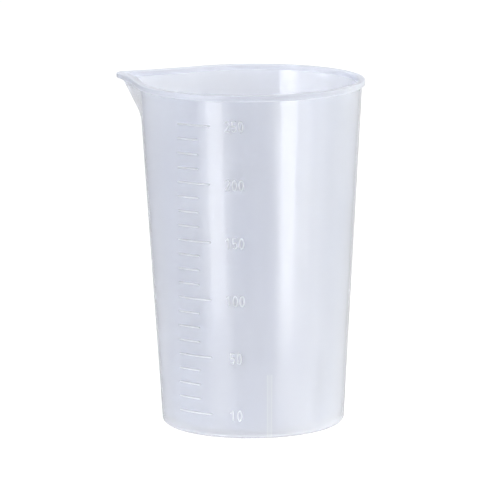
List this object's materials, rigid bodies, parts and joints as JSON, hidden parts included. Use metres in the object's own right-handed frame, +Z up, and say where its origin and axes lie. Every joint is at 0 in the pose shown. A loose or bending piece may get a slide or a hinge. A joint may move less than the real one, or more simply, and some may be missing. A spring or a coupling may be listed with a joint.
{
  "type": "measuring cup",
  "caption": "Tapered translucent measuring cup with a pouring spout, a beaded rim and a raised scale, for measuring and pouring liquids.",
  "frame": {"origin": "centre of the flat underside, on the cup's axis", "axes": "+Z up along the cup's axis, -X towards the spout"},
  "size_m": [0.0801, 0.0692, 0.105],
  "materials": {
    "milky_polypropylene": "milky translucent, glossy"
  },
  "bodies": {
    "root": {"base_floor": "milky_polypropylene", "cup_wall": "milky_polypropylene", "long_mark_10": "milky_polypropylene", "long_mark_100": "milky_polypropylene", "long_mark_150": "milky_polypropylene", "long_mark_200": "milky_polypropylene", "long_mark_250": "milky_polypropylene", "long_mark_50": "milky_polypropylene", "numeral_100_digit_1": "milky_polypropylene", "numeral_100_digit_2": "milky_polypropylene", "numeral_100_digit_3": "milky_polypropylene", "numeral_10_digit_1": "milky_polypropylene", "numeral_10_digit_2": "milky_polypropylene", "numeral_150_digit_1": "milky_polypropylene", "numeral_150_digit_2": "milky_polypropylene", "numeral_150_digit_3": "milky_polypropylene", "numeral_200_digit_1": "milky_polypropylene", "numeral_200_digit_2": "milky_polypropylene", "numeral_200_digit_3": "milky_polypropylene", "numeral_250_digit_1": "milky_polypropylene", "numeral_250_digit_2": "milky_polypropylene", "numeral_250_digit_3": "milky_polypropylene", "numeral_50_digit_1": "milky_polypropylene", "numeral_50_digit_2": "milky_polypropylene", "rim_bead": "milky_polypropylene", "short_mark_100_to_150_1": "milky_polypropylene", "short_mark_100_to_150_2": "milky_polypropylene", "short_mark_100_to_150_3": "milky_polypropylene", "short_mark_10_to_50_1": "milky_polypropylene", "short_mark_10_to_50_2": "milky_polypropylene", "short_mark_10_to_50_3": "milky_polypropylene", "short_mark_150_to_200_1": "milky_polypropylene", "short_mark_150_to_200_2": "milky_polypropylene", "short_mark_150_to_200_3": "milky_polypropylene", "short_mark_200_to_250_1": "milky_polypropylene", "short_mark_200_to_250_2": "milky_polypropylene", "short_mark_200_to_250_3": "milky_polypropylene", "short_mark_50_to_100_1": "milky_polypropylene", "short_mark_50_to_100_2": "milky_polypropylene", "short_mark_50_to_100_3": "milky_polypropylene", "stacking_rib_1": "milky_polypropylene", "stacking_rib_2": "milky_polypropylene", "stacking_rib_3": "milky_polypropylene"}
  },
  "joints": []
}
